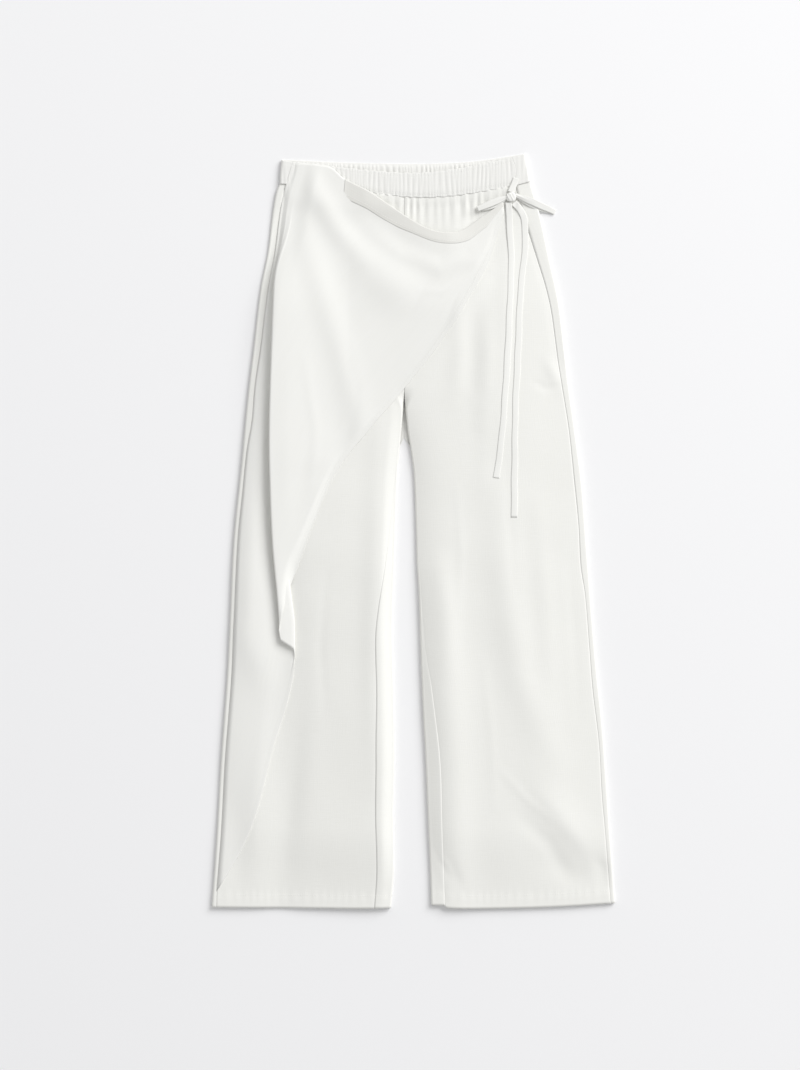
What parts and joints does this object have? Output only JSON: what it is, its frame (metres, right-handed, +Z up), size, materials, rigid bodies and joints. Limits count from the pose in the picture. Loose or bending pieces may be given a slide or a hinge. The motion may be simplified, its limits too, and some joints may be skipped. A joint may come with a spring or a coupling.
{
  "type": "wrap pants",
  "caption": "Wide linen trousers lying flat, with a gathered elastic waist and an asymmetric wrap panel tied in a bow at the hip.",
  "frame": {"origin": "middle of the outline, on the surface that the garment lies on", "axes": "+Z up off the surface, +Y from the hems to the waist, +X to the side of the bow"},
  "size_m": [0.557, 1.0413, 0.0154],
  "materials": {
    "leg_linen": "matte off-white plain-weave linen with slubs",
    "band_linen": "matte off-white linen gathered over elastic",
    "wrap_linen": "matte off-white plain-weave linen with slubs",
    "tie_linen": "matte off-white linen folded into narrow ties"
  },
  "bodies": {
    "root": {"leg_back_left": "leg_linen", "leg_back_right": "leg_linen", "leg_front_left": "leg_linen", "leg_front_right": "leg_linen", "waistband_back": "band_linen", "waistband_front": "band_linen", "wrap_panel": "wrap_linen", "wrap_facing": "wrap_linen", "tie_strand": "tie_linen", "tie_long": "tie_linen", "tie_short": "tie_linen", "bow_knot": "tie_linen", "bow_loop_left": "tie_linen", "bow_loop_right": "tie_linen"}
  },
  "joints": []
}
